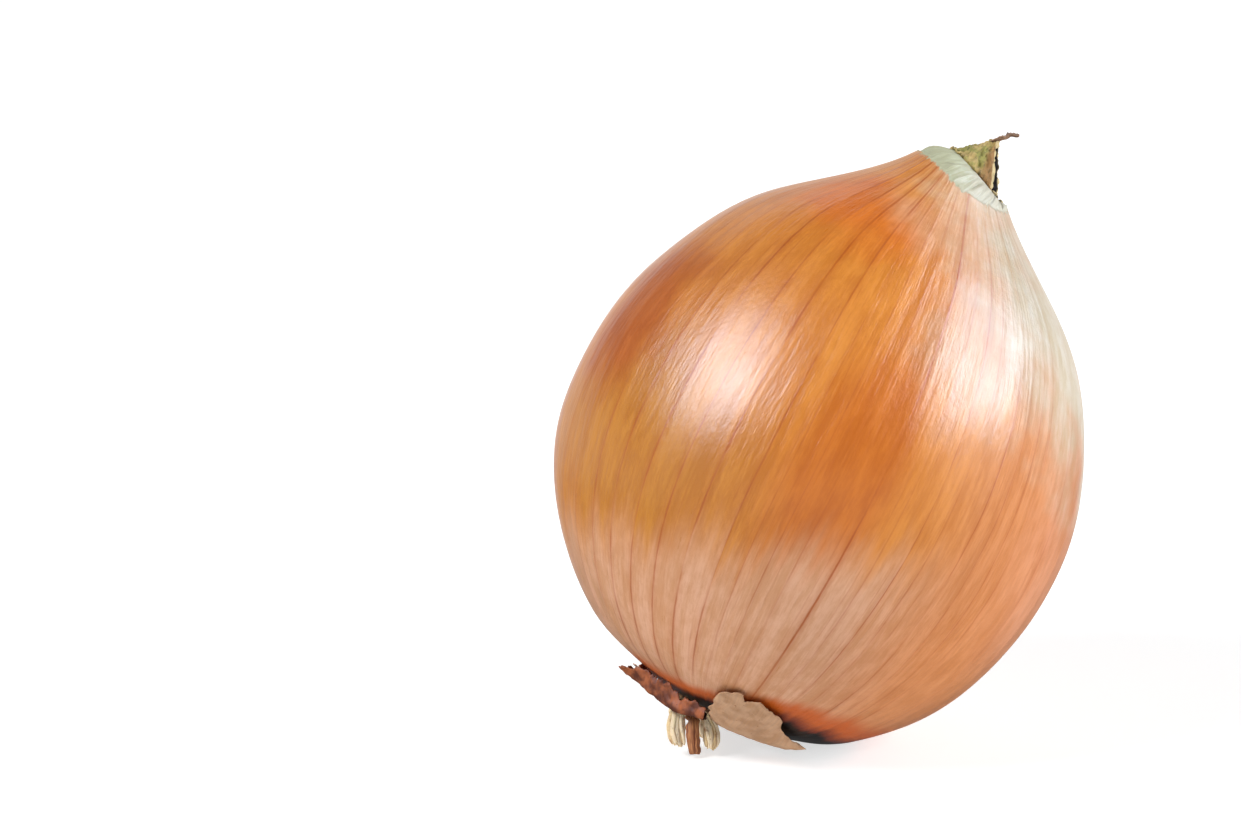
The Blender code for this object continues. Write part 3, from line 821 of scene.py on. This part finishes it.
# The root plate: the corky disc at the bottom of the bulb that the roots grow from. It hangs from
# its recess as a shallow dome, and is covered with the nubs of roots that were trimmed away.

PLATE_RADIUS = 8.5
PLATE_TOP = 1.8
PLATE_DEPTH = 1.8
PLATE_ROWS = 14
ROOT_NUBS = 70

bpy.ops.mesh.primitive_circle_add(vertices=96, radius=PLATE_RADIUS, fill_type="TRIFAN", location=(0, 0, 0))
plate = bpy.context.object
plate.name = "root_plate_disc"
bpy.ops.object.mode_set(mode="EDIT")
bpy.ops.transform.translate(value=(0, 0, PLATE_TOP))
bpy.ops.mesh.extrude_region_move(TRANSFORM_OT_translate={"value": (0, 0, ROOT_RING_HEIGHT - PLATE_TOP)})
for row in range(1, PLATE_ROWS):
    turn = math.pi / 2 * row / PLATE_ROWS
    before = math.pi / 2 * (row - 1) / PLATE_ROWS
    drop = -PLATE_DEPTH * (math.sin(turn) - math.sin(before))
    growth = math.cos(turn) / math.cos(before)
    bpy.ops.mesh.extrude_region_move(TRANSFORM_OT_translate={"value": (0, 0, drop)})
    bpy.ops.transform.resize(value=(growth, growth, 1), center_override=(0, 0, 0))
close_edit()
roughen(plate, 0.5, 0.7, start=1.0)
roughen(plate, 0.25, 2.4, start=6.0)

nubs = []
for nub in range(ROOT_NUBS):
    far = PLATE_RADIUS * 0.92 * math.sqrt((nub + 0.5) / ROOT_NUBS)
    turn = nub * math.pi * (3 - math.sqrt(5)) + float(chance.uniform(-0.2, 0.2))
    level = ROOT_RING_HEIGHT - PLATE_DEPTH * math.sqrt(1 - (far / PLATE_RADIUS) ** 2)
    width = float(chance.uniform(0.28, 0.5))
    length = float(chance.uniform(0.5, 1.3))
    nub_place = (far * math.cos(turn), far * math.sin(turn), level)
    bpy.ops.mesh.primitive_cone_add(
        vertices=8, radius1=width * 0.8, radius2=width, depth=length, location=nub_place
    )
    bpy.ops.object.mode_set(mode="EDIT")
    bpy.ops.mesh.bevel(offset=0.08, segments=1, affect="EDGES")
    nub_lean = float(chance.uniform(-0.5, 0.5))
    bpy.ops.transform.rotate(value=nub_lean, orient_axis="X", center_override=nub_place)
    bpy.ops.object.mode_set(mode="OBJECT")
    nubs.append(bpy.context.object)
join_onto(plate, nubs)
plate.data.transform(Matrix.Translation((ROOT_SHIFT, 0, 0)))
stand(plate)
plate.data.shade_smooth()

cork, tree, shader = new_finish("corky_root_plate")
place = onion_place(tree)
pits = grain(tree, place, 1.4, 4.0, 0.65)
CORK = paint(122, 84, 54)
CORK_DARK = paint(58, 32, 18)
colour = mix(tree, ease(tree, pits, 0.38, 0.62), CORK_DARK, CORK)
dry_surface(tree, shader, colour, pits, 0.8, 0.4, 0.95, 0.8)
shader.inputs["Specular IOR Level"].default_value = 0.2
plate.data.materials.append(cork)
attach(plate, "root")
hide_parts("root_plate")


# The roots: tufts of short, cream-coloured dried roots, trimmed just above the table. Each tuft is
# a bundle of separate threads that grow from the root plate.

ROOT_THREADS = 34
THREAD_STEPS = 14
ROOT_TUFTS = {
    "root_lobe_left": [
        ((-21.6, -11.4, 8.8), 0.8),
        ((-22.2, -12.3, 7.5), 0.9),
        ((-22.7, -13.1, 6.0), 1.4),
        ((-22.95, -13.8, 4.4), 1.6),
        ((-22.8, -14.3, 3.0), 1.5),
        ((-22.3, -14.7, 1.5), 1.1),
    ],
    "root_lobe_right": [
        ((-18.4, -12.0, 6.9), 0.7),
        ((-18.0, -12.9, 5.8), 0.9),
        ((-17.7, -13.6, 4.8), 1.3),
        ((-17.5, -14.1, 3.5), 1.45),
        ((-17.5, -14.4, 2.2), 1.35),
        ((-17.7, -14.6, 0.9), 1.0),
    ],
    "root_lobe_middle": [
        ((-18.2, -6.9, 4.6), 1.1),
        ((-18.2, -7.2, 3.6), 1.4),
        ((-18.3, -7.4, 2.8), 1.9),
        ((-18.4, -7.6, 1.9), 1.8),
        ((-18.4, -7.6, 0.9), 1.3),
    ],
    "root_lobe_back": [
        ((-21.0, -1.4, 5.8), 1.0),
        ((-21.4, -0.9, 4.8), 1.2),
        ((-22.0, -0.3, 3.7), 1.75),
        ((-22.4, 0.2, 2.3), 1.65),
        ((-22.4, 0.6, 0.9), 1.1),
    ],
}

root_finish, tree, shader = new_finish("dried_cream_roots")
place = add(tree, "TexCoord", {}).outputs["Object"]
specks = grain(tree, place, 900.0, 3.0, 0.6)
lengthwise = grain(tree, stretched(tree, place, 1, 1, 0.15), 2600.0, 3.0)
thread_chance = add(tree, "NewGeometry", {}).outputs["Random Per Island"]
ROOT_CREAM = paint(236, 216, 184)
ROOT_STRAW = paint(206, 174, 122)
ROOT_BROWN = paint(150, 100, 58)
colour = mix(tree, thread_chance, ROOT_CREAM, ROOT_STRAW)
colour = mix(tree, ease(tree, specks, 0.52, 0.72, 0.0, 0.7), colour, ROOT_BROWN)
root_height = add(tree, "SeparateXYZ", {0: place}).outputs[2]
colour = mix(tree, ease(tree, root_height, 0.0055, 0.009, 0.0, 0.8), colour, ROOT_BROWN)
dry_surface(tree, shader, colour, lengthwise, 0.6, 0.15, 0.85, 0.65)
shader.inputs["Specular IOR Level"].default_value = 0.3
shader.inputs["Subsurface Weight"].default_value = 0.15
shader.inputs["Subsurface Radius"].default_value = (1.0, 0.6, 0.3)
shader.inputs["Subsurface Scale"].default_value = 0.001

for node, stations in ROOT_TUFTS.items():
    middles = np.array([station[0] for station in stations])
    spreads = np.array([station[1] for station in stations])
    stops = np.linspace(0, 1, len(stations))
    bundle = bpy.data.curves.new(node + "_threads", "CURVE")
    bundle.dimensions = "3D"
    bundle.bevel_depth = 1.0
    bundle.bevel_resolution = 2
    bundle.use_fill_caps = True
    for thread in range(ROOT_THREADS):
        out = 0.78 * math.sqrt((thread + 0.5) / ROOT_THREADS)
        turn = thread * math.pi * (3 - math.sqrt(5)) + float(chance.uniform(-0.3, 0.3))
        reach = float(chance.uniform(0.82, 1.0))
        thick = float(chance.uniform(0.22, 0.38))
        seat = float(chance.uniform(0, 50))
        spline = bundle.splines.new("POLY")
        spline.points.add(THREAD_STEPS - 1)
        for step in range(THREAD_STEPS):
            share = reach * step / (THREAD_STEPS - 1)
            spot = [float(np.interp(share, stops, middles[:, axis])) for axis in range(3)]
            spread = float(np.interp(share, stops, spreads)) * out
            wander_x = 0.25 * noise.noise(Vector((seat, 3 * share, 0)))
            wander_y = 0.25 * noise.noise(Vector((seat, 3 * share, 8)))
            spot[0] += spread * math.cos(turn + 0.6 * share) + wander_x
            spot[1] += spread * math.sin(turn + 0.6 * share) + wander_y
            knobbly = 1 + 0.25 * noise.noise(Vector((seat, 9 * share, 4)))
            tip = min(1, 0.45 + (1 - step / (THREAD_STEPS - 1)) * 5)
            spline.points[step].co = (*spot, 1)
            spline.points[step].radius = thick * knobbly * tip
    tuft = bpy.data.objects.new(node.replace("lobe", "tuft"), bundle)
    bpy.context.scene.collection.objects.link(tuft)
    bpy.ops.object.select_all(action="DESELECT")
    tuft.select_set(True)
    bpy.context.view_layer.objects.active = tuft
    bpy.ops.object.convert(target="MESH")
    tuft = bpy.context.object
    tuft.data.transform(Matrix.Scale(MM, 4))
    tuft.data.shade_smooth()
    tuft.data.materials.clear()
    tuft.data.materials.append(root_finish)
    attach(tuft, "root")
    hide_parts(node)


# The dark root: one flat, leathery brown root that hangs in front between two of the tufts. It has
# dried to a ribbed ribbon and grows from the front of the root plate.

STRAP_MIDDLE = [
    (-20.7, -12.9, 7.6),
    (-20.6, -13.7, 6.9),
    (-20.4, -14.8, 5.6),
    (-20.3, -15.4, 3.2),
    (-20.15, -15.7, 0.7),
]
STRAP_WIDTHS = [1.1, 1.4, 1.7, 1.7, 1.2]
STRAP_THICKNESS = 0.45

bpy.ops.mesh.primitive_grid_add(x_subdivisions=50, y_subdivisions=12, size=1, location=(0, 0, 0))
strap = bpy.context.object
strap.name = "dark_flat_root"
shape_strip(strap, STRAP_MIDDLE, STRAP_WIDTHS, (1, 0.15, 0), -0.25)
roughen(strap, 0.4, 1.1, (2, 1, 0.35), 2.0)
thicken(strap, STRAP_THICKNESS)
strap.data.transform(Matrix.Scale(MM, 4))
strap.data.shade_smooth()

leathery, tree, shader = new_finish("dark_leathery_root")
strip_uv = add(tree, "UVMap", {}, uv_map="UVMap").outputs[0]
ribs = grain(tree, stretched(tree, strip_uv, 2, 12, 1), 1.0, 3.0, 0.65)
LEATHER = paint(184, 122, 72)
LEATHER_DARK = paint(118, 58, 24)
colour = mix(tree, ease(tree, ribs, 0.38, 0.62), LEATHER_DARK, LEATHER)
dry_surface(tree, shader, colour, ribs, 0.6, 0.2, 0.5, 0.75)
strap.data.materials.append(leathery)
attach(strap, "root")
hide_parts("root_strap")


# The torn skin: rags of dry outer skin, thin as paper, that are still held by the root ring. Each
# leaves the ring, folds and turns up to a torn edge. Its fibres run out from the ring.

RAG_THICKNESS = 0.13
RAG_FOLD_SHARE = 0.4
RAG_ROOT = (11.7, 0.1)

# Each column is (angle in degrees, fold radius, fold height, edge radius, edge height).
FRONT_RAG = [
    (40, 17.4, 1.5, 18.2, 2.3), (49, 16.6, 0.6, 18.8, 2.5), (58, 16.2, 0.3, 20.1, 3.2),
    (64, 16.0, 0.25, 21.6, 4.1), (66, 15.9, 0.2, 23.2, 5.2), (69, 15.7, 0.2, 23.7, 5.5),
    (73, 15.6, 0.1, 23.9, 5.7), (75, 15.5, 0.05, 24.4, 6.0), (78, 15.3, 0.0, 24.9, 6.4),
    (81, 15.2, -0.1, 24.1, 5.9), (82.5, 15.1, -0.1, 23.3, 5.3), (84, 15.1, -0.1, 24.3, 6.0),
    (87, 15.0, 0.0, 24.5, 6.2), (89.5, 15.0, 0.1, 23.8, 5.6), (92, 15.0, 0.3, 22.7, 4.8),
    (93.5, 15.0, 0.5, 20.4, 3.5),
]
LEFT_RAG = [
    (96, 14.4, -0.5, 15.2, 1.2), (105, 13.2, -1.1, 14.0, 0.9), (115, 12.6, -1.6, 13.2, 0.7),
    (127, 12.4, -1.8, 13.3, 1.2), (138, 12.6, -1.6, 13.8, 1.35), (148, 13.2, -1.2, 14.6, 1.5),
    (154, 13.4, -0.9, 15.4, 1.0), (158, 13.4, -0.9, 17.3, 0.1), (163, 13.2, -0.7, 15.2, 0.3),
    (174, 12.5, -0.3, 13.3, 0.4),
]
LEFT_INNER_RAG = [
    (150, 12.8, 0.65, 13.5, 1.0), (157, 12.8, 0.65, 14.0, 1.15),
    (164, 12.8, 0.65, 14.3, 1.2), (170, 12.8, 0.65, 13.6, 1.05),
]
BACK_RAG = [
    (198, 12.6, -0.4, 13.4, 0.4), (210, 12.8, -0.6, 14.2, 0.7), (222, 13.1, -0.5, 15.4, 1.1),
    (235, 13.4, -0.3, 16.8, 1.8), (250, 13.6, -0.1, 17.6, 2.1), (262, 13.8, 0.1, 16.6, 1.8),
    (272, 14.0, 0.3, 15.6, 1.3),
]


def torn_rag(name, columns, root, seat, crumple, tearing):
    """A thin rag of skin whose columns run from the root ring, through a fold, to a torn edge."""
    bpy.ops.mesh.primitive_grid_add(x_subdivisions=110, y_subdivisions=36, size=1, location=(0, 0, 0))
    rag = bpy.context.object
    rag.name = name
    grid = mesh_points(rag)
    table = np.array(columns, float)
    across = grid[:, 0] + 0.5
    tear = soft_noise(14 * across, seat, 1)
    fine_tear = soft_noise(70 * across, seat, 5)
    share = (grid[:, 1] + 0.5) * (1 + tearing * (tear + 0.4 * fine_tear))
    side_tear = soft_noise(seat, 6 * share, 9)
    degrees = table[0, 0] + (table[-1, 0] - table[0, 0]) * across
    degrees += 3.0 * side_tear * (2 * across - 1)
    fold_radius, fold_height, edge_radius, edge_height = (
        np.interp(degrees, table[:, 0], table[:, column]) for column in range(1, 5)
    )
    at_root = (1 - share) * (RAG_FOLD_SHARE - share) / RAG_FOLD_SHARE
    at_fold = share * (1 - share) / (RAG_FOLD_SHARE * (1 - RAG_FOLD_SHARE))
    at_edge = share * (share - RAG_FOLD_SHARE) / (1 - RAG_FOLD_SHARE)
    radius = at_root * root[0] + at_fold * fold_radius + at_edge * edge_radius
    height = at_root * root[1] + at_fold * fold_height + at_edge * edge_height
    turn = np.radians(degrees)
    shift = centre_shift(height)
    move_points(rag, np.stack([shift + radius * np.cos(turn), -radius * np.sin(turn), height], 1))
    roughen(rag, crumple, 0.35, start=seat, share=np.clip(share, 0.1, 1))
    roughen(rag, crumple * 0.5, 1.1, start=seat, share=np.clip(share, 0.1, 1))
    thicken(rag, RAG_THICKNESS)
    stand(rag)
    rag.data.shade_smooth()
    return rag


def rag_finish(name, pale, dark, speck, edge, fold_shade_start):
    """Dry skin: fibres that run out from the ring, specks, and a darker colour from the ring out to the
    fold, partly the skin's own and partly painted shade under the bulb.
    """
    made, tree, shader = new_finish(name)
    place = onion_place(tree)
    rag_uv = add(tree, "UVMap", {}, uv_map="UVMap").outputs[0]
    fibres = grain(tree, stretched(tree, rag_uv, 60, 2, 1), 1.0, 3.0, 0.6)
    blotches = grain(tree, place, 0.5, 3.0)
    specks = grain(tree, place, 2.2, 2.0)
    colour = mix(tree, ease(tree, blotches, 0.35, 0.65), pale, dark)
    shade = ease(tree, fibres, 0.3, 0.7, 0.9, 1.06)
    colour = add(tree, "VectorMath", {0: colour, 3: shade}, operation="SCALE").outputs[0]
    colour = mix(tree, ease(tree, specks, 0.66, 0.74, 0.0, 0.6), colour, speck)
    out = add(tree, "SeparateXYZ", {0: rag_uv}).outputs[1]
    # From the ring out to the fold the rag takes the last colour: partly the skin's own, partly painted
    # shade where it tucks under the bulb.
    colour = mix(tree, ease(tree, out, fold_shade_start, fold_shade_start - 0.3), colour, edge)
    dry_surface(tree, shader, colour, fibres, 0.4, 0.1, 0.5, 0.7)
    shader.inputs["Specular IOR Level"].default_value = 0.4
    return made


front_rag = torn_rag("torn_skin_front", FRONT_RAG, RAG_ROOT, 2.0, 0.35, 0.03)
left_rag = torn_rag("torn_skin_left", LEFT_RAG, RAG_ROOT, 12.0, 0.5, 0.13)
left_inner_rag = torn_rag("torn_skin_left_inner", LEFT_INNER_RAG, (12.2, 0.8), 22.0, 0.3, 0.1)
back_rag = torn_rag("torn_skin_back", BACK_RAG, RAG_ROOT, 32.0, 0.5, 0.08)

# The last colour of each finish is the darker one from the ring to the fold, partly the skin's own and
# partly painted shade under the bulb.
tan_rag = rag_finish(
    "tan_torn_skin", paint(184, 144, 110), paint(168, 126, 90), paint(120, 70, 36), paint(160, 88, 40), 0.42
)
dark_rag = rag_finish(
    "dark_torn_skin", paint(156, 84, 40), paint(88, 38, 12), paint(48, 18, 6), paint(60, 22, 8), 0.6
)
pale_rag = rag_finish(
    "pale_torn_skin", paint(214, 178, 152), paint(180, 128, 96), paint(120, 60, 36), paint(120, 60, 34), 0.5
)
for rag, finish, slot, node in (
    (front_rag, tan_rag, "torn_skin", "skin_flake_front"),
    (left_rag, dark_rag, "dark_torn_skin", "skin_flake_left"),
    (left_inner_rag, pale_rag, "pale_torn_skin", "skin_flake_left_inner"),
    (back_rag, dark_rag, "dark_torn_skin", "skin_flake_back"),
):
    rag.data.materials.append(finish)
    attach(rag, "root")
    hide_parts(node)


# The studio: a white table inside a white backdrop, soft boxes on either side and behind, cards that
# only shine in the skin, and a camera a little above the onion.

TABLE_RADIUS = 6.0
BACKDROP_RADIUS = 1.6
BOX_DISTANCE = 2.7
CARD_DISTANCE = 2.6

bpy.ops.mesh.primitive_circle_add(vertices=96, radius=TABLE_RADIUS, fill_type="NGON", location=(0, 0, 0))
table = bpy.context.object
table.name = "table_top"
white, tree, shader = new_finish("white_table")
table_grain = grain(tree, add(tree, "TexCoord", {}).outputs["Object"], 3.0)
table_white = mix(tree, table_grain, (0.47, 0.47, 0.47, 1), (0.5, 0.5, 0.5, 1))
tree.links.new(table_white, shader.inputs["Base Color"])
shader.inputs["Roughness"].default_value = 0.8
shader.inputs["Specular IOR Level"].default_value = 0.2
shader.inputs["Emission Color"].default_value = (1, 1, 1, 1)
shader.inputs["Emission Strength"].default_value = 0.66
table.data.materials.append(white)
table.visible_glossy = False

# The backdrop is only there to be seen: it throws no light or shadow, and nothing reflects it.
bpy.ops.mesh.primitive_uv_sphere_add(segments=64, ring_count=32, radius=BACKDROP_RADIUS, location=(0, 0, 0))
backdrop = bpy.context.object
backdrop.name = "backdrop"
bpy.ops.object.shade_smooth()
glow, tree, shader = new_finish("white_backdrop")
backdrop_grain = grain(tree, add(tree, "TexCoord", {}).outputs["Object"], 3.0)
backdrop_white = mix(tree, backdrop_grain, (0.98, 0.98, 0.98, 1), (1, 1, 1, 1))
tree.links.new(backdrop_white, shader.inputs["Emission Color"])
shader.inputs["Emission Strength"].default_value = 1.1
backdrop.data.materials.append(glow)
backdrop.visible_diffuse = False
backdrop.visible_glossy = False
backdrop.visible_transmission = False
backdrop.visible_shadow = False

belly = stance @ Vector((0, 0, BELLY_HEIGHT)) * MM


def soft_light(name, bearing, distance, width, height, power, roll=0.0):
    """A round soft box that looks at the belly from a bearing (right, towards the back, up)."""
    bpy.ops.object.light_add(type="AREA", location=belly + distance * Vector(bearing).normalized())
    lamp = bpy.context.object
    lamp.name = name
    aim = (-Vector(bearing)).to_track_quat("-Z", "Y") @ Quaternion((0, 0, 1), math.radians(roll))
    lamp.rotation_euler = aim.to_euler()
    lamp.data.shape = "ELLIPSE"
    lamp.data.size = width
    lamp.data.size_y = height
    lamp.data.energy = power
    return lamp


for name, bearing, width, height, power in (
    ("soft_box_left", (-0.662, -0.335, 0.67), 1.05, 0.8, 62.0),
    ("soft_box_right", (0.87, -0.22, 0.38), 1.2, 1.4, 75.0),
):
    box = soft_light(name, bearing, BOX_DISTANCE, width, height, power)
    box.visible_glossy = False
soft_light("soft_box_back", (-0.14, 0.8, 0.58), BOX_DISTANCE, 1.6, 0.7, 4.0)

# The cards only shine in the skin and light nothing.
for name, bearing, width, height, power, roll in (
    ("gloss_card_left", (-0.64, -0.32, 0.7), 2.2, 2.0, 100.0, 0.0),
    ("gloss_core_left", (-0.66, -0.34, 0.67), 1.2, 1.0, 36.0, 0.0),
    ("gloss_card_right", (0.845, -0.07, 0.52), 2.9, 1.6, 128.0, 15.0),
    ("gloss_core_right", (0.82, -0.35, 0.45), 1.4, 1.1, 36.0, 0.0),
):
    card = soft_light(name, bearing, CARD_DISTANCE, width, height, power, roll)
    card.visible_diffuse = False
    card.data.color = (0.58, 0.8, 1.0)

world = bpy.data.worlds.new("studio_room")
bpy.context.scene.world = world
world.use_nodes = True
tree = world.node_tree
background = tree.nodes["Background"]
way = add(tree, "SeparateXYZ", {0: add(tree, "TexCoord", {}).outputs["Generated"]})
horizon = ease(tree, calc(tree, "ABSOLUTE", way.outputs[2]), 0.08, 0.22, 0.8, 0.14)
behind = ease(tree, way.outputs[1], 0.76, 0.99, 0.0, 1.1)
behind = times(tree, behind, ease(tree, way.outputs[2], 0.5, 0.1))
behind = times(tree, behind, ease(tree, way.outputs[2], -0.42, -0.22))
floor_glow = ease(tree, way.outputs[2], 0.0, -0.2, 0.0, 0.08)
room = calc(tree, "MAXIMUM", calc(tree, "MAXIMUM", horizon, behind), floor_glow)
tree.links.new(room, background.inputs["Color"])
background.inputs["Strength"].default_value = 1.0

CAMERA_TILT = math.radians(12)
CAMERA_DISTANCE = 0.527
CAMERA_ASIDE = 0.0296
CAMERA_ABOVE = 0.0095
camera_data = bpy.data.cameras.new("camera")
camera_data.lens = 100
camera_data.sensor_width = 36
camera = bpy.data.objects.new("camera", camera_data)
bpy.context.scene.collection.objects.link(camera)
look = Vector((0, math.cos(CAMERA_TILT), -math.sin(CAMERA_TILT)))
upward = Vector((0, math.sin(CAMERA_TILT), math.cos(CAMERA_TILT)))
camera.location = belly - CAMERA_DISTANCE * look + CAMERA_ABOVE * upward + Vector((-CAMERA_ASIDE, 0, 0))
camera.rotation_euler = (math.pi / 2 - CAMERA_TILT, 0, 0)
bpy.context.scene.camera = camera
bpy.context.scene.view_settings.view_transform = "Standard"
